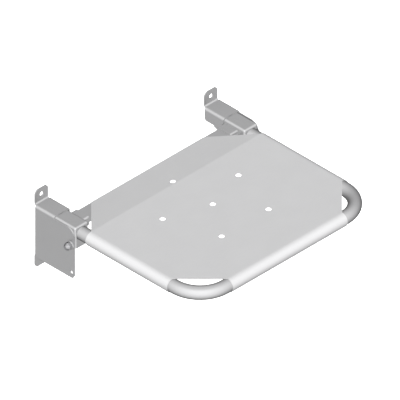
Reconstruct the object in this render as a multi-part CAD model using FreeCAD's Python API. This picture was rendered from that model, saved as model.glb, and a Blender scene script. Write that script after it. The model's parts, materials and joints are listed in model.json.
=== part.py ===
import FreeCAD, Part
import math
import os
from FreeCAD import Vector

# Fold-down wall seat: two folded wall brackets, a hinged tube frame and a sheet seat pan.
# Millimetres, +Z up, +X to the right as seen from the front. The wall is the plane y = 0 and
# the seat reaches out along -Y. The origin is the centre of the four wall screw holes.
#
# Places on the left half are given as (inward, out, down):
#   inward  from the outer face of the left wall bracket
#   out     from the wall
#   down    below the top face of the wall brackets

# Wall brackets
span = 443.0                 # between the outer faces of the two brackets
bracket_width = 38.0
bracket_sheet = 2.5
bracket_bend = 4.4           # outside radius of the long bends
side_height = 105.0
side_front = 99.0            # front edge of the outer side plate, from the wall
side_top_round = 18.5        # top front corner of the side plate
side_low_round = 8.0         # bottom front corner of the side plate
hood_front = 51.0            # front edge of the top plate, from the wall
flange_depth = 25.0          # inner flange, below the top face
flange_round = 5.0
foot_front = 42.0            # front edge of the bottom plate, from the wall
tab_height = 26.8            # screw tab, past the top face or the bottom edge
tab_bend_inside = 2.9
tab_inset = 3.5              # edges of the tab, in from the bracket's two faces
tab_round = 8.0
tab_hole = 9.0
tab_hole_rise = 13.8         # hole centre, past the top face or the bottom edge
corner_hole = 6.5
corner_hole_front = 6.6      # hole centre, behind the front edge
corner_hole_up = 10.5        # hole centre, above the bottom edge

# Pivot
pivot_out = 89.8
pivot_down = 39.2
bolt_diameter = 8.0
bolt_head = 5.3
bolt_tip = 2.4               # past the nut
hex_flats = 13.0
nut_height = 8.0
washer_diameter = 16.0
washer_sheet = 1.6
sleeve_diameter = 12.0       # sleeve welded across the arm
bush_wall = 1.0
bush_flange = 0.5            # thickness, between the arm and the wall bracket
bush_flange_diameter = 15.0

# Seat tube
tube_diameter = 25.4
tube_wall = 1.5
tube_down = 19.0             # centre line
tube_back = 40.0             # rear ends, from the wall
tube_front = 380.8           # centre line of the front run, from the wall
tube_bend = 59.5             # centre line radius

# Arms
arm_sheet = 1.5
arm_bend = 3.6               # outside radius
arm_back = 24.0
arm_front = 98.6
arm_face_depth = 44.0        # bottom of the front plate
arm_lobe_depth = 50.0        # bottom of the side plates at the pivot
arm_lobe_back = 80.0
arm_lobe_round = 6.0
arm_tail_depth = 30.0        # bottom of the side plates at their rear end
arm_tail_round = 5.0

# Seat pan
pan_sheet = 1.0
pan_crease = 8.0             # radius on top of the crease
pan_fold = 120.6             # crease, from the wall
pan_front_chamfer = 65.4     # leg, from the corner of the tube's centre lines
pan_curl = 195.0             # degrees round the tube, from its top
pan_hole = 10.0
pan_hole_out = 209.0         # middle hole, from the wall
pan_hole_circle = 190.6
pan_hole_count = 5
seat_back = 52.5             # rear edge of the pan, the cross plate and the cleats

# Cross plate and cleats
cross_sheet = 3.0
cross_down = 13.1
cross_front = 88.0
cleat_sheet = 1.5
cleat_top = 9.7
cleat_front = 82.3
cleat_reach = 14.3           # past the inner face of the wall bracket
cleat_bend = 3.2             # outside radius of the front bend

# Fits
stop_gap = 0.3               # arm under the bracket's top plate, seat down
arm_gap = 0.5                # arm inside the bracket's inner flange
run_gap = 0.2                # along the pivot, at the bush's flange and under the bolt's head
pin_gap = 0.05               # radial, bolt in the bushes
hole_gap = 0.1               # radial, bolt in the bracket, washer and nut
press_gap = 0.02             # bush in the sleeve, cross plate and cleats at the arms
tube_gap = 0.1               # tube in the arm and in the curl of the pan
sweep_gap = 1.5              # cleat past the inner flange as the seat folds

# Derived
half_height = side_height / 2
side_back = bracket_sheet + tab_bend_inside
tube_in = bracket_width / 2
tube_x = span / 2 - tube_in
tube_radius = tube_diameter / 2
bolt_radius = bolt_diameter / 2
sleeve_radius = sleeve_diameter / 2
bush_bore = bolt_radius + pin_gap
bush_radius = bush_bore + bush_wall
arm_outer = bracket_sheet + run_gap + bush_flange
arm_inner = bracket_width - bracket_sheet - arm_gap
arm_width = arm_inner - arm_outer
arm_top = bracket_sheet + stop_gap
head_in = arm_inner + run_gap
nut_in = -washer_sheet - nut_height
curl_inner = tube_radius + tube_gap
pan_under = tube_down - curl_inner
pan_drop = cross_down - pan_under
cleat_in = bracket_width + cleat_reach
cleat_sweep = math.hypot(pivot_out - seat_back, pivot_down - cleat_top)

along_x = Vector(1, 0, 0)
along_y = Vector(0, 1, 0)
along_z = Vector(0, 0, 1)
origin = Vector(0, 0, 0)

overshoot = 1.0              # how far cutting shapes reach past what they cut
tolerance = 1e-6


def left(inward, out, down):
    return Vector(inward - span / 2, -out, half_height - down)


def rounded_face(corners, place):
    """Face with straight sides; each corner is (a, b, radius) and place maps (a, b) to space."""
    stops = []
    for index, (a, b, radius) in enumerate(corners):
        corner = Vector(a, b, 0)
        before = corners[index - 1]
        after = corners[(index + 1) % len(corners)]
        to_before = (Vector(before[0], before[1], 0) - corner).normalize()
        to_after = (Vector(after[0], after[1], 0) - corner).normalize()
        half_angle = to_before.getAngle(to_after) / 2
        middle = (to_before + to_after).normalize()
        reach = radius / math.tan(half_angle)
        dip = radius / math.sin(half_angle) - radius
        stops.append((corner + to_before * reach, corner + middle * dip, corner + to_after * reach, radius))
    edges = []
    for index, (start, middle, end, radius) in enumerate(stops):
        last_end = stops[index - 1][2]
        if (start - last_end).Length > tolerance:
            edges.append(Part.LineSegment(place(last_end.x, last_end.y), place(start.x, start.y)).toShape())
        if radius > 0:
            arc = Part.Arc(place(start.x, start.y), place(middle.x, middle.y), place(end.x, end.y))
            edges.append(arc.toShape())
    return Part.Face(Part.Wire(edges))


def side_sheet(corners, inward, thickness):
    """Solid between two planes across the width, with an outline in (out, down)."""
    face = rounded_face(corners, lambda out, down: left(inward, out, down))
    return face.extrude(along_x * thickness)


def long_sheet(corners, start, end):
    """Solid that runs out from the wall, with a section in (inward, down)."""
    face = rounded_face(corners, lambda inward, down: left(inward, start, down))
    return face.extrude(along_y * (start - end))


def cross_hole(radius, out, down, start, end):
    """Cylinder across the width, from start to end inward."""
    return Part.makeCylinder(radius, end - start, left(start, out, down), along_x)


def ring(radius, bore, start, end):
    """Ring round the pivot, from start to end inward."""
    outside = cross_hole(radius, pivot_out, pivot_down, start, end)
    return outside.cut(cross_hole(bore, pivot_out, pivot_down, start, end))


def hexagon(start, end):
    """Hexagonal prism round the pivot, from start to end inward."""
    radius = hex_flats / math.sqrt(3)
    middle = left(start, pivot_out, pivot_down)
    points = []
    for corner in range(7):
        angle = math.radians(60 * corner + 30)
        points.append(middle + Vector(0, radius * math.cos(angle), radius * math.sin(angle)))
    return Part.Face(Part.makePolygon(points)).extrude(along_x * (end - start))


def mirrored(shape):
    return shape.mirror(origin, along_x)


def hood():
    """Top plate with its two long bends."""
    section = [
        (0, bracket_bend, 0),
        (0, 0, bracket_bend),
        (bracket_width, 0, bracket_bend),
        (bracket_width, bracket_bend, 0),
        (bracket_width - bracket_sheet, bracket_bend, 0),
        (bracket_width - bracket_sheet, bracket_sheet, bracket_bend - bracket_sheet),
        (bracket_sheet, bracket_sheet, bracket_bend - bracket_sheet),
        (bracket_sheet, bracket_bend, 0),
    ]
    return long_sheet(section, side_back, hood_front)


def outer_side():
    """Large outer side plate."""
    outline = [
        (side_back, bracket_bend, 0),
        (side_front, bracket_bend, side_top_round),
        (side_front, side_height, side_low_round),
        (side_back, side_height, 0),
    ]
    return side_sheet(outline, 0, bracket_sheet)


def inner_flange():
    """Short inner flange, relieved in an arc where the cleat sweeps past."""
    outline = [
        (side_back, bracket_bend, 0),
        (hood_front, bracket_bend, 0),
        (hood_front, flange_depth, 0),
        (side_back, flange_depth, flange_round),
    ]
    plate = side_sheet(outline, bracket_width - bracket_sheet, bracket_sheet)
    swept = cleat_sweep + sweep_gap
    return plate.cut(cross_hole(swept, pivot_out, pivot_down, arm_inner, bracket_width + overshoot))


def foot():
    """Bottom plate that carries the lower tab, welded inside the lower edge of the side plate."""
    edge = bracket_width - tab_inset
    section = [
        (bracket_sheet, side_height, 0),
        (edge, side_height, 0),
        (edge, side_height - bracket_sheet, 0),
        (bracket_sheet, side_height - bracket_sheet, 0),
    ]
    return long_sheet(section, side_back, foot_front)


def upper_tab():
    """Screw tab, bent up from the rear edge of the top plate to lie on the wall."""
    edge = bracket_width - tab_inset
    bend = [
        (side_back, 0, 0),
        (side_back, bracket_sheet, 0),
        (0, bracket_sheet, side_back),
        (0, -tab_height, 0),
        (bracket_sheet, -tab_height, 0),
        (bracket_sheet, 0, tab_bend_inside),
    ]
    outline = [
        (tab_inset, -tab_height, tab_round),
        (edge, -tab_height, tab_round),
        (edge, bracket_sheet, 0),
        (tab_inset, bracket_sheet, 0),
    ]
    tab = side_sheet(bend, tab_inset, edge - tab_inset).common(long_sheet(outline, 0, side_back))
    hole = Part.makeCylinder(tab_hole / 2, side_back, left(tube_in, 0, -tab_hole_rise), -along_y)
    return tab.cut(hole)


def wall_bracket():
    lower_tab = upper_tab().mirror(origin, along_z)
    bracket = hood().fuse([outer_side(), inner_flange(), foot(), upper_tab(), lower_tab])
    hole_out = side_front - corner_hole_front
    hole_down = side_height - corner_hole_up
    past = bracket_sheet + overshoot
    pivot_bore = cross_hole(bolt_radius + hole_gap, pivot_out, pivot_down, -overshoot, past)
    corner_bore = cross_hole(corner_hole / 2, hole_out, hole_down, -overshoot, past)
    return bracket.cut([pivot_bore, corner_bore]).removeSplitter()


def bent_box(inset, past, radius):
    """Box of the arm's outside set in by inset, running on by past behind and below, bends rounded."""
    back = arm_back - past
    low = arm_lobe_depth + overshoot + past
    top = arm_top + inset
    front = arm_front - inset
    box = Part.makeBox(arm_width - 2 * inset, front - back, low - top, left(arm_outer + inset, front, low))
    bends = []
    for edge in box.Edges:
        middle = edge.CenterOfMass
        on_top = abs(middle.z - (half_height - top)) < tolerance
        on_front = abs(middle.y + front) < tolerance
        at_side = abs(middle.x - box.CenterOfMass.x) > tolerance
        if (on_top and on_front) or (at_side and (on_top or on_front)):
            bends.append(edge)
    return box.makeFillet(radius, bends)


def arm():
    """Folded box of top, sides and front plate, open below and behind, with the pivot's sleeve."""
    box = bent_box(0, 0, arm_bend).cut(bent_box(arm_sheet, overshoot, arm_bend - arm_sheet))
    bend_line = arm_front - arm_bend
    outline = [
        (arm_back, 0, 0),
        (arm_front, 0, 0),
        (arm_front, arm_face_depth, 0),
        (bend_line, arm_face_depth, 0),
        (bend_line, arm_lobe_depth, arm_lobe_round),
        (arm_lobe_back, arm_lobe_depth, arm_lobe_round),
        (arm_back, arm_tail_depth, arm_tail_round),
    ]
    sheet = box.common(side_sheet(outline, 0, bracket_width))
    sleeve = cross_hole(sleeve_radius, pivot_out, pivot_down, arm_outer, arm_inner)
    bore = cross_hole(bush_radius + press_gap, pivot_out, pivot_down, 0, bracket_width)
    tube_hole = Part.makeCylinder(curl_inner, 2 * arm_bend, left(tube_in, arm_front, tube_down), along_y)
    return sheet.cut(tube_hole).fuse(sleeve).cut(bore).removeSplitter()


def seat_tube():
    """U of round tube: two legs, two bends and the front run. Only the legs' open ends show a bore."""
    height = half_height - tube_down
    leg_end = tube_front - tube_bend
    run_end = tube_x - tube_bend
    back = Vector(-tube_x, -tube_back, height)
    corner = Vector(-tube_x, -leg_end, height)
    leg = Part.makeCylinder(tube_radius, leg_end - tube_back, back, -along_y)
    bore = Part.makeCylinder(tube_radius - tube_wall, leg_end - tube_back, back, -along_y)
    leg = leg.cut(bore)
    section = Part.Face(Part.Wire(Part.makeCircle(tube_radius, corner, along_y)))
    bend = section.revolve(Vector(-run_end, -leg_end, height), along_z, 90)
    run = Part.makeCylinder(tube_radius, 2 * run_end, Vector(-run_end, -tube_front, height), along_x)
    return leg.fuse([bend, run, mirrored(bend), mirrored(leg)]).removeSplitter()


def pan_plate():
    """Flat sheet with its rear strip creased down to the cross plate, before its outline is cut."""
    angle = math.atan2(pan_drop, pan_fold - seat_back)
    top = pan_under - pan_sheet
    section = [
        (tube_front, pan_under, 0),
        (pan_fold, pan_under, pan_crease - pan_sheet),
        (seat_back, cross_down, 0),
        (seat_back, cross_down - pan_sheet / math.cos(angle), 0),
        (pan_fold - pan_sheet * math.tan(angle / 2), top, pan_crease),
        (tube_front, top, 0),
    ]
    return side_sheet(section, tube_in, 2 * tube_x)


def pan_outline():
    """Plan of the flat sheet, with its four corners cut at 45 degrees."""
    rear_x = tube_x - (pan_fold - seat_back)
    front_x = tube_x - pan_front_chamfer
    half = [
        (rear_x, seat_back, 0),
        (tube_x, pan_fold, 0),
        (tube_x, tube_front - pan_front_chamfer, 0),
        (front_x, tube_front, 0),
    ]
    other = [(-x, out, radius) for x, out, radius in reversed(half)]
    low = half_height - cross_down - overshoot
    face = rounded_face(half + other, lambda x, out: Vector(x, -out, low))
    return face.extrude(along_z * (cross_down + overshoot))


def curl(start, end, centre, axis, angle):
    """Sheet curled round the tube: its thickness along one edge, turned about the tube's axis."""
    low = along_z * curl_inner
    high = along_z * (curl_inner + pan_sheet)
    strip = Part.makePolygon([start + low, end + low, end + high, start + high, start + low])
    return Part.Face(strip).revolve(centre, axis, angle)


def seat_pan():
    height = half_height - tube_down
    side_start = Vector(-tube_x, -pan_fold, height)
    side_end = Vector(-tube_x, -(tube_front - pan_front_chamfer), height)
    front_start = Vector(-(tube_x - pan_front_chamfer), -tube_front, height)
    front_end = Vector(tube_x - pan_front_chamfer, -tube_front, height)
    side_curl = curl(side_start, side_end, side_start, -along_y, pan_curl)
    front_curl = curl(front_start, front_end, front_start, along_x, pan_curl)
    pan = pan_plate().common(pan_outline()).fuse([side_curl, front_curl, mirrored(side_curl)])
    places = [Vector(0, -pan_hole_out, 0)]
    for index in range(pan_hole_count):
        angle = 2 * math.pi * index / pan_hole_count
        offset = Vector(math.sin(angle), math.cos(angle), 0) * (pan_hole_circle / 2)
        places.append(places[0] + offset)
    drill = [Part.makeCylinder(pan_hole / 2, half_height, place, along_z) for place in places]
    return pan.cut(drill).removeSplitter()


def cross_plate():
    end = arm_inner + press_gap
    corner = left(end, cross_front, cross_down + cross_sheet)
    return Part.makeBox(span - 2 * end, cross_front - seat_back, cross_sheet, corner)


def cleat_block(inset, past):
    """Bent block on the cross plate set in by inset, running on by past below and towards the arm."""
    start = arm_inner + press_gap - past
    low = cross_down - press_gap + past
    top = cleat_top + inset
    front = cleat_front - inset
    length = cleat_in - inset - start
    block = Part.makeBox(length, front - seat_back - inset, low - top, left(start, front, low))
    bends = []
    for edge in block.Edges:
        middle = edge.CenterOfMass
        on_top = abs(middle.z - (half_height - top)) < tolerance
        on_front = abs(middle.y + front) < tolerance
        if on_top and on_front:
            bends.append(edge)
    return block.makeFillet(cleat_bend - inset, bends)


def cleat():
    """Cap bent down at the front, its end welded on; open below and towards the arm."""
    return cleat_block(0, 0).cut(cleat_block(cleat_sheet, overshoot))


def pivot_bush():
    """Flanged bush, as long as the arm's sleeve is wide; its flange runs against the wall bracket."""
    barrel = ring(bush_radius, bush_bore, arm_outer, arm_inner)
    flange = ring(bush_flange_diameter / 2, bush_bore, bracket_sheet + run_gap, arm_outer)
    return barrel.fuse(flange).removeSplitter()


def pivot_washer():
    return ring(washer_diameter / 2, bolt_radius + hole_gap, -washer_sheet, 0)


def lock_nut():
    bore = cross_hole(bolt_radius + hole_gap, pivot_out, pivot_down, nut_in, -washer_sheet)
    return hexagon(nut_in, -washer_sheet).cut(bore)


def pivot_bolt():
    """Hexagon head beside the arm's sleeve, and a plain shank that ends past the nut."""
    head = hexagon(head_in, head_in + bolt_head)
    shank = cross_hole(bolt_radius, pivot_out, pivot_down, nut_in - bolt_tip, head_in)
    return head.fuse(shank).removeSplitter()


handed = {
    "wall_bracket": wall_bracket,
    "arm": arm,
    "cleat": cleat,
    "pivot_bush": pivot_bush,
    "pivot_washer": pivot_washer,
    "lock_nut": lock_nut,
    "pivot_bolt": pivot_bolt,
}
single = {
    "seat_tube": seat_tube,
    "seat_pan": seat_pan,
    "cross_plate": cross_plate,
}


def write(name, shape):
    shape.exportStep("parts/" + name + ".step")
    print(name, "volume", round(shape.Volume, 1), "solids", len(shape.Solids), "valid", shape.isValid())


os.makedirs("parts", exist_ok=True)
for name, make in handed.items():
    shape = make()
    write("left_" + name, shape)
    write("right_" + name, mirrored(shape))
for name, make in single.items():
    write(name, make())
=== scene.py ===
import json
import math
import bmesh
import bpy
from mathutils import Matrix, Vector


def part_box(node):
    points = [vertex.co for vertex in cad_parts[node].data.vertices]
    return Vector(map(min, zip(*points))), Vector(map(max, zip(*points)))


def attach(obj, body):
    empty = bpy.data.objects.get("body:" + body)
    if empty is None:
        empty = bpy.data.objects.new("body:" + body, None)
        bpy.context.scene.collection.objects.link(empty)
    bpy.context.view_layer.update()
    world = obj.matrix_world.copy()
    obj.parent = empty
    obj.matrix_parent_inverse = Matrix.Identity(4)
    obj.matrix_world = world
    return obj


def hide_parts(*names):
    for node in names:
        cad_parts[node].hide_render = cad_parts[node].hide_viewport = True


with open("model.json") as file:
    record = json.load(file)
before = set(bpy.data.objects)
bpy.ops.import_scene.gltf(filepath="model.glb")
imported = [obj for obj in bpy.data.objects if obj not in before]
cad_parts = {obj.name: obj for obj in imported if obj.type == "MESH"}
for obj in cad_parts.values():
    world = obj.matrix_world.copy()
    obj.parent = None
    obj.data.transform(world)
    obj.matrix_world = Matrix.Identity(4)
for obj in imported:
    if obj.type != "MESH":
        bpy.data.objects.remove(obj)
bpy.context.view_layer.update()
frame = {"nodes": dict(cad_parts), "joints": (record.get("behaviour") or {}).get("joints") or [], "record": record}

# Finish, fasteners and picture of the fold-down wall seat. Metres, in the frame of the packed
# model: the wall is the plane y = 0, the seat reaches out along -Y and +Z is up.
#
# Places on either side are given as (inward, out, down): inward from the outer face of the wall
# bracket, out from the wall, and down below the top face of the wall brackets.

# Picture: true isometric view from the front left, without perspective
picture_size = 400                      # pixels
pixels_per_metre = 591.7
view_azimuth = math.radians(-45.0)
view_elevation = math.atan(1 / math.sqrt(2))
corner_pixel = (34.97, 205.77)          # left wall bracket, top rear corner of its outer face
camera_distance = 2.0
camera_reach = 20.0

# Light: a large soft studio dome, brightest towards the viewer and darkest behind the object.
# It is dimmed straight above, where it would burn out the pan in a view from the top.
dome_middle = 1.03
dome_swing = 0.93                       # how much brighter or darker the two ends are
overhead_share = 0.72                   # of the dome's light, kept straight above
overhead_spread = math.radians(32)      # from straight above to where the dimming starts
backdrop_glow = 1.0                     # what the camera sees past the floor
white = (1, 1, 1, 1)

# Floor
floor_colour = (0.93, 0.93, 0.93, 1)
floor_roughness = 0.9
floor_glow = 1.0
floor_height = -0.45                    # well below the seat
floor_reach = 4.0

# Steels: material, colour, roughness, stretch of the grain along X, Y and Z, and how much of its
# glancing reflection the satin surface keeps
sheet_colour = (0.518, 0.518, 0.523)
steels = {
    "bracket_steel": ("bracket_finish", sheet_colour, 0.38, (1, 0.06, 1), 0.15),
    "arm_steel": ("arm_finish", sheet_colour, 0.38, (1, 0.06, 1), 0.15),
    "tube_steel": ("tube_finish", (0.50, 0.50, 0.505), 0.36, (0.2, 0.2, 1), 0.35),
    "pan_steel": ("pan_finish", (0.742, 0.742, 0.747), 0.53, (0.06, 1, 1), 0.0),
    "zinc_steel": ("zinc_finish", (0.38, 0.38, 0.39), 0.3, (1, 1, 1), 0.15),
    "washer": ("washer_finish", (0.62, 0.62, 0.625), 0.4, (1, 1, 1), 0.15),
    "weld": ("weld_finish", (0.45, 0.445, 0.44), 0.45, (1, 1, 1), 0.15),
}
grain_scale = 1600                      # grains per metre
grain_detail = 6
grain_strength = 0.1
grain_depth = 0.00004
roughness_swing = 0.05
cloud_scale = 24                        # clouds per metre
cloud_detail = 3
cloud_swing = 0.01
noise_low, noise_high = 0.3, 0.7        # most of a noise lies between these

# Nylon of the bushes and of the rings in the nuts
nylon_colour = (0.10, 0.10, 0.11)
nylon_roughness = 0.55
nylon_scale = 700
nylon_detail = 2
nylon_swing = 0.1
nylon_strength = 0.2
nylon_depth = 0.00005

# Meshes
merge_distance = 1e-7
sharp_angle = math.radians(28)

# Wall brackets
tab_height = 0.0268                     # screw tab above the top face
tab_bend = 0.0054                       # start of the top face, from the wall
bracket_sheet = 0.0025
side_height = 0.105
foot_front = 0.042

# Pivot fasteners, M8
thread_radius = 0.004
thread_pitch = 0.00125
thread_depth = 0.0006
thread_length = 0.003                   # modelled stretch, from the nut's ring to the tip
thread_points = 16                      # along that stretch
tip_chamfer = 0.0007
tip_end = 0.012                         # past the outer face of the wall bracket
flat_radius = 0.0065                    # from the axis to the flats of nut and head
edge_radius = 0.0062                    # where the chamfered corners meet the end faces
chamfer_slope = math.tan(math.radians(30))
nut_hexagon = 0.0062                    # height of the six-sided part
collar_radius = 0.0057
collar_top_radius = 0.005
collar_round = 0.0004
nut_height = 0.0094
nut_bore = 0.0041
ring_radius = 0.0046                    # nylon ring in the collar
ring_sunk = 0.0004
washer_radius = 0.008
washer_sheet = 0.0016
washer_chamfer = 0.0003
head_start = 0.0352                     # inward of the outer face of the wall bracket
head_height = 0.0053
head_collar = 0.0004
head_collar_radius = 0.0058
head_dish = 0.0003
turn_steps = 72

# Lower edge of the side plate, rounded
hem_radius = 0.00125
hem_back = 0.004
hem_front = 0.097

# Lower edge of the arm's front plate, rolled
face_hem_radius = 0.0012
face_hem_outer = 0.0042
face_hem_inner = 0.034
face_hem_out = 0.0979
face_hem_down = 0.0447

# Lips of the cross plate, bent down beside the arms
cross_under = 0.0161
lip_start = 0.0352
lip_end = 0.0475
lip_back = 0.0855
lip_front = 0.088
lip_bottom = 0.0214
lip_round = 0.001
corner_steps = 6

# Welds
arm_inner = 0.035
weld_back = 0.0545
weld_front = 0.084
weld_radius = 0.0012
weld_ripple = 0.0016
weld_ripple_depth = 0.14
weld_steps_per_ripple = 6
rod_sides = 16                          # around a weld or a hem

sides = {"left": -1, "right": 1}
_, bracket_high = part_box("right_wall_bracket")
half_span = bracket_high.x
top_face = bracket_high.z - tab_height


def direction(azimuth, elevation):
    """Unit vector from the object towards a viewer."""
    flat = math.cos(elevation)
    return Vector((math.sin(azimuth) * flat, -math.cos(azimuth) * flat, math.sin(elevation)))


def place(side, inward, out, down):
    return Vector((sides[side] * (half_span - inward), -out, top_face - down))


to_viewer = direction(view_azimuth, view_elevation)


def add_camera():
    """Orthographic camera, aimed so that the left bracket's corner falls on its pixel."""
    data = bpy.data.cameras.new("picture_camera")
    data.type = "ORTHO"
    data.ortho_scale = picture_size / pixels_per_metre
    data.clip_end = camera_reach
    camera = bpy.data.objects.new("picture_camera", data)
    bpy.context.scene.collection.objects.link(camera)
    camera.rotation_mode = "QUATERNION"
    camera.rotation_quaternion = (-to_viewer).to_track_quat("-Z", "Y")
    right = camera.rotation_quaternion @ Vector((1, 0, 0))
    up = camera.rotation_quaternion @ Vector((0, 1, 0))
    across = (picture_size / 2 - corner_pixel[0]) / pixels_per_metre
    above = (corner_pixel[1] - picture_size / 2) / pixels_per_metre
    corner = place("left", 0, tab_bend, 0)
    camera.location = corner + right * across + up * above + to_viewer * camera_distance
    bpy.context.scene.camera = camera


def mapped(tree, value, start, end, low, high, curve="LINEAR"):
    """Output of a node that maps value from start..end to low..high."""
    node = tree.nodes.new("ShaderNodeMapRange")
    node.interpolation_type = curve
    node.inputs["From Min"].default_value = start
    node.inputs["From Max"].default_value = end
    node.inputs["To Min"].default_value = low
    node.inputs["To Max"].default_value = high
    tree.links.new(value, node.inputs["Value"])
    return node.outputs["Result"]


def dome_strength(tree):
    """Strength of the dome by its direction."""
    way = tree.nodes.new("ShaderNodeTexCoord").outputs["Generated"]
    facing = tree.nodes.new("ShaderNodeVectorMath")
    facing.operation = "DOT_PRODUCT"
    facing.inputs[1].default_value = to_viewer
    tree.links.new(way, facing.inputs[0])
    darkest, brightest = dome_middle - dome_swing, dome_middle + dome_swing
    swing = mapped(tree, facing.outputs["Value"], -1, 1, darkest, brightest)
    height = tree.nodes.new("ShaderNodeSeparateXYZ")
    tree.links.new(way, height.inputs["Vector"])
    start = math.cos(overhead_spread)
    overhead = mapped(tree, height.outputs["Z"], start, 1, 1, overhead_share, "SMOOTHSTEP")
    strength = tree.nodes.new("ShaderNodeMath")
    strength.operation = "MULTIPLY"
    tree.links.new(swing, strength.inputs[0])
    tree.links.new(overhead, strength.inputs[1])
    return strength.outputs["Value"]


def add_light():
    """Studio dome; the backdrop that the camera sees past the floor is white."""
    world = bpy.data.worlds.new("studio")
    world.use_nodes = True
    tree = world.node_tree
    seen = tree.nodes.new("ShaderNodeLightPath")
    strength = tree.nodes.new("ShaderNodeMix")
    strength.inputs["B"].default_value = backdrop_glow
    tree.links.new(seen.outputs["Is Camera Ray"], strength.inputs["Factor"])
    tree.links.new(dome_strength(tree), strength.inputs["A"])
    background = tree.nodes["Background"]
    background.inputs["Color"].default_value = white
    tree.links.new(strength.outputs["Result"], background.inputs["Strength"])
    bpy.context.scene.world = world
    bpy.context.scene.view_settings.view_transform = "Standard"
    bpy.context.scene.view_settings.look = "None"


def add_floor():
    mesh = bpy.data.meshes.new("floor")
    corners = [
        (-floor_reach, -floor_reach, floor_height),
        (floor_reach, -floor_reach, floor_height),
        (floor_reach, floor_reach, floor_height),
        (-floor_reach, floor_reach, floor_height),
    ]
    mesh.from_pydata(corners, [], [(0, 1, 2, 3)])
    floor = bpy.data.objects.new("floor", mesh)
    bpy.context.scene.collection.objects.link(floor)
    material = bpy.data.materials.new("pale_floor")
    material.use_nodes = True
    shader = material.node_tree.nodes["Principled BSDF"]
    shader.inputs["Base Color"].default_value = floor_colour
    shader.inputs["Roughness"].default_value = floor_roughness
    shader.inputs["Emission Color"].default_value = white
    shader.inputs["Emission Strength"].default_value = floor_glow
    mesh.materials.append(material)
    floor.visible_diffuse = False
    floor.visible_glossy = False


class Surface:
    """A Principled material whose colour, roughness and bump come from procedural nodes."""

    def __init__(self, name, roughness, metallic):
        self.material = bpy.data.materials.new(name)
        self.material.use_nodes = True
        self.tree = self.material.node_tree
        self.shader = self.tree.nodes["Principled BSDF"]
        self.shader.inputs["Roughness"].default_value = roughness
        self.shader.inputs["Metallic"].default_value = metallic
        self.place = self.tree.nodes.new("ShaderNodeTexCoord").outputs["Object"]

    def noise(self, scale, detail, stretch=(1, 1, 1)):
        """Noise of scale grains per metre, of which X, Y and Z each get the share in stretch."""
        mapping = self.tree.nodes.new("ShaderNodeMapping")
        mapping.inputs["Scale"].default_value = stretch
        self.tree.links.new(self.place, mapping.inputs["Vector"])
        noise = self.tree.nodes.new("ShaderNodeTexNoise")
        noise.inputs["Scale"].default_value = scale
        noise.inputs["Detail"].default_value = detail
        self.tree.links.new(mapping.outputs["Vector"], noise.inputs["Vector"])
        return noise.outputs["Fac"]

    def spread(self, noise, low, high):
        return mapped(self.tree, noise, noise_low, noise_high, low, high)

    def colour(self, noise, base, swing):
        """Colour that wanders about base with the noise, by the share swing."""
        node = self.tree.nodes.new("ShaderNodeMix")
        node.data_type = "RGBA"
        node.inputs["A"].default_value = (*shade(base, 1 - swing), 1)
        node.inputs["B"].default_value = (*shade(base, 1 + swing), 1)
        self.tree.links.new(self.spread(noise, 0, 1), node.inputs["Factor"])
        self.tree.links.new(node.outputs["Result"], self.shader.inputs["Base Color"])

    def roughness(self, value):
        self.tree.links.new(value, self.shader.inputs["Roughness"])

    def bump(self, value, strength, distance):
        node = self.tree.nodes.new("ShaderNodeBump")
        node.inputs["Strength"].default_value = strength
        node.inputs["Distance"].default_value = distance
        self.tree.links.new(value, node.inputs["Height"])
        self.tree.links.new(node.outputs["Normal"], self.shader.inputs["Normal"])


def shade(base, change):
    return tuple(channel * change for channel in base)


def satin_steel(name, base, rough, stretch, edge):
    """Blasted or brushed steel: fine grain, drawn out along the brushing, and faint clouding."""
    surface = Surface(name, rough, 1.0)
    surface.shader.inputs["Specular Tint"].default_value = (edge, edge, edge, 1)
    grain = surface.noise(grain_scale, grain_detail, stretch)
    surface.colour(surface.noise(cloud_scale, cloud_detail), base, cloud_swing)
    surface.roughness(surface.spread(grain, rough - roughness_swing, rough + roughness_swing))
    surface.bump(grain, grain_strength, grain_depth)
    return surface.material


def moulded_nylon(name):
    surface = Surface(name, nylon_roughness, 0.0)
    grain = surface.noise(nylon_scale, nylon_detail)
    surface.colour(grain, nylon_colour, nylon_swing)
    surface.bump(grain, nylon_strength, nylon_depth)
    return surface.material


def make_finishes():
    finishes = {key: satin_steel(*steel) for key, steel in steels.items()}
    finishes["bush_nylon"] = moulded_nylon("bush_finish")
    return finishes


def finish_nodes(finishes):
    slots = {part["node"]: part["material_slot"] for part in frame["record"]["subparts"]}
    for name, node in frame["nodes"].items():
        for slot in node.material_slots:
            slot.material = finishes[slots[name]]


def add_piece(name, shape, body, material):
    """Object from a bmesh, smooth but for its sharp edges, riding on a body of the frame."""
    bmesh.ops.remove_doubles(shape, verts=shape.verts, dist=merge_distance)
    bmesh.ops.recalc_face_normals(shape, faces=shape.faces)
    mesh = bpy.data.meshes.new(name)
    shape.to_mesh(mesh)
    shape.free()
    mesh.shade_smooth()
    mesh.set_sharp_from_angle(angle=sharp_angle)
    mesh.materials.append(material)
    piece = bpy.data.objects.new(name, mesh)
    bpy.context.scene.collection.objects.link(piece)
    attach(piece, body)
    return piece


def skin(shape, rows, closed):
    """Faces between neighbouring rows of vertices; closed joins the two ends of each row."""
    for row, following in zip(rows, rows[1:]):
        for here in range(len(row) if closed else len(row) - 1):
            after = (here + 1) % len(row)
            shape.faces.new((row[here], row[after], following[after], following[here]))


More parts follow.
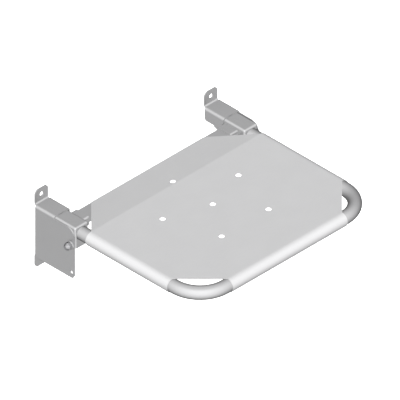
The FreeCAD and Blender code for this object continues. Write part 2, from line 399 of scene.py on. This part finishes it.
def turned(side, profile, ring):
    """Shape turned about the pivot's axis. profile(angle) lists (distance out of the bracket's
    outer face, radius) and has its ends on the axis, or closes on itself where it is a ring."""
    _, pivot_y, pivot_z = frame["joints"][0]["pos_m"]
    centre = Vector((sides[side] * half_span, pivot_y, pivot_z))
    shape = bmesh.new()
    rows = []
    for step in range(turn_steps):
        angle = 2 * math.pi * step / turn_steps
        row = []
        for distance, radius in profile(angle):
            offset = (sides[side] * distance, radius * math.cos(angle), radius * math.sin(angle))
            row.append(shape.verts.new(centre + Vector(offset)))
        rows.append(row)
    skin(shape, rows + rows[:1], ring)
    return shape


def hexagon_radius(angle):
    """From the axis to a hexagon with flats towards the front and the wall."""
    sixth = math.pi / 3
    return flat_radius / math.cos((angle + sixth / 2) % sixth - sixth / 2)


def washer_profile(_angle):
    return [
        (0, nut_bore),
        (0, washer_radius),
        (washer_sheet - washer_chamfer, washer_radius),
        (washer_sheet, washer_radius - washer_chamfer),
        (washer_sheet, nut_bore),
    ]


def nut_profile(angle):
    """Lock nut: a hexagon with its corners chamfered at both ends, and a round collar."""
    corner = hexagon_radius(angle)
    chamfer = (corner - edge_radius) * chamfer_slope
    start = washer_sheet
    shoulder = start + nut_hexagon
    end = start + nut_height
    return [
        (start, nut_bore),
        (start, edge_radius),
        (start + chamfer, corner),
        (shoulder - chamfer, corner),
        (shoulder, edge_radius),
        (shoulder + collar_round, collar_radius),
        (end - collar_round, collar_top_radius),
        (end, collar_top_radius - collar_round),
        (end, ring_radius),
        (end - ring_sunk * 2, ring_radius),
        (end - ring_sunk * 2, nut_bore),
    ]


def ring_profile(_angle):
    """Nylon ring, sunk in the end of the nut."""
    end = washer_sheet + nut_height - ring_sunk
    return [
        (end, nut_bore),
        (end, ring_radius),
        (end - ring_sunk, ring_radius),
        (end - ring_sunk, nut_bore),
    ]


def thread_profile(angle):
    """Rising thread of the bolt, from its tip inwards."""
    first = tip_end - tip_chamfer
    points = []
    for step in range(thread_points + 1):
        distance = first - thread_length * step / thread_points
        phase = (distance / thread_pitch + angle / (2 * math.pi)) % 1.0
        points.append((distance, thread_radius - thread_depth * abs(2 * phase - 1)))
    return points


def bolt_profile(angle):
    """Hexagon head bolt, from its tip to its head inside the seat's arm."""
    corner = hexagon_radius(angle)
    chamfer = (corner - edge_radius) * chamfer_slope
    seat = -head_start
    under = seat - head_collar
    end = seat - head_height
    return [
        (tip_end, 0),
        (tip_end, thread_radius - tip_chamfer),
        *thread_profile(angle),
        (tip_end - tip_chamfer - thread_length, thread_radius),
        (seat, thread_radius),
        (seat, head_collar_radius),
        (under, head_collar_radius),
        (under, edge_radius),
        (under - chamfer, corner),
        (end + chamfer, corner),
        (end, edge_radius),
        (end, edge_radius - head_dish),
        (end + head_dish, edge_radius - 3 * head_dish),
        (end + head_dish, 0),
    ]


def add_fasteners(side, finishes):
    """Detailed washer, nut and bolt in place of the plain nodes, and the ring in the nut."""
    rows = (
        ("_washer_plate", "_pivot_washer", washer_profile, True, "washer"),
        ("_nut_collar", "_lock_nut", nut_profile, True, "zinc_steel"),
        ("_threaded_bolt", "_pivot_bolt", bolt_profile, False, "zinc_steel"),
    )
    for name, node, profile, ring, finish in rows:
        shape = turned(side, profile, ring)
        piece = add_piece(side + name, shape, "wall_brackets", finishes[finish])
        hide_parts(side + node)
    ring = turned(side, ring_profile, True)
    add_piece(side + "_nut_ring", ring, "wall_brackets", finishes["bush_nylon"])


def rod_shape(start, end, radius, ripple_depth):
    """Straight round rod with closed round ends; a weld bead has the ripples of its puddles."""
    along = (end - start).normalized()
    across = along.orthogonal().normalized()
    other = along.cross(across)
    length = (end - start).length
    count = round(length / weld_ripple) * weld_steps_per_ripple
    shape = bmesh.new()
    rings = []
    for step in range(count + 1):
        share = step / count
        ripple = 1 + ripple_depth * math.cos(2 * math.pi * step / weld_steps_per_ripple)
        taper = min(1.0, length / weld_ripple * min(share, 1 - share))
        reach = radius * ripple * math.sqrt(taper)
        middle = start + (end - start) * share
        ring = []
        for turn in range(rod_sides):
            angle = 2 * math.pi * turn / rod_sides
            side_way = across * math.cos(angle) + other * math.sin(angle)
            ring.append(shape.verts.new(middle + side_way * reach))
        rings.append(ring)
    skin(shape, rings, True)
    return shape


def add_welds(side, finishes):
    """Beads that join the cross plate to the arm, and the bottom plate to the side plate."""
    runs = {
        "cross_weld": ("seat", "arm_steel", arm_inner, weld_back, weld_front, cross_under),
        "foot_weld": (
            "wall_brackets", "bracket_steel", bracket_sheet, tab_bend + 2 * weld_radius,
            foot_front - 2 * weld_radius, side_height - bracket_sheet,
        ),
    }
    for name, (body, slot, inward, back, front, down) in runs.items():
        ends = place(side, inward, back, down), place(side, inward, front, down)
        shape = rod_shape(*ends, weld_radius, weld_ripple_depth)
        add_piece(side + "_" + name, shape, body, finishes["weld"])


def add_hems(side, finishes):
    """Round lower edge of the side plate, and rolled lower edge of the arm's front plate."""
    back = place(side, hem_radius, hem_back, side_height)
    front = place(side, hem_radius, hem_front, side_height)
    edge = rod_shape(back, front, hem_radius, 0)
    finish = finishes["bracket_steel"]
    add_piece(side + "_side_hem", edge, "wall_brackets", finish)
    outer = place(side, face_hem_outer, face_hem_out, face_hem_down)
    inner = place(side, face_hem_inner, face_hem_out, face_hem_down)
    edge = rod_shape(outer, inner, face_hem_radius, 0)
    add_piece(side + "_face_hem", edge, "seat", finishes["arm_steel"])


def add_lip(side, finishes):
    """Lip under the front edge of the cross plate, round at its free lower corner."""
    outline = [(lip_start, cross_under), (lip_start, lip_bottom)]
    for step in range(corner_steps + 1):
        angle = math.pi / 2 * step / corner_steps
        inward = lip_end - lip_round + lip_round * math.sin(angle)
        outline.append((inward, lip_bottom - lip_round + lip_round * math.cos(angle)))
    outline.append((lip_end, cross_under))
    shape = bmesh.new()
    back = [shape.verts.new(place(side, inward, lip_back, down)) for inward, down in outline]
    front = [shape.verts.new(place(side, inward, lip_front, down)) for inward, down in outline]
    shape.faces.new(back)
    shape.faces.new(front)
    skin(shape, [back, front], True)
    add_piece(side + "_cross_lip", shape, "seat", finishes["arm_steel"])


def part_reflections():
    """Keeps the folded sheets out of reflections, where the narrow gaps between them would show
    as black lines. The tube stays in, so that its open ends are dark inside."""
    for name, node in frame["nodes"].items():
        if name != "seat_tube":
            node.visible_glossy = False


add_camera()
add_light()
add_floor()
finishes = make_finishes()
finish_nodes(finishes)
for side in sides:
    add_fasteners(side, finishes)
    add_welds(side, finishes)
    add_hems(side, finishes)
    add_lip(side, finishes)
part_reflections()
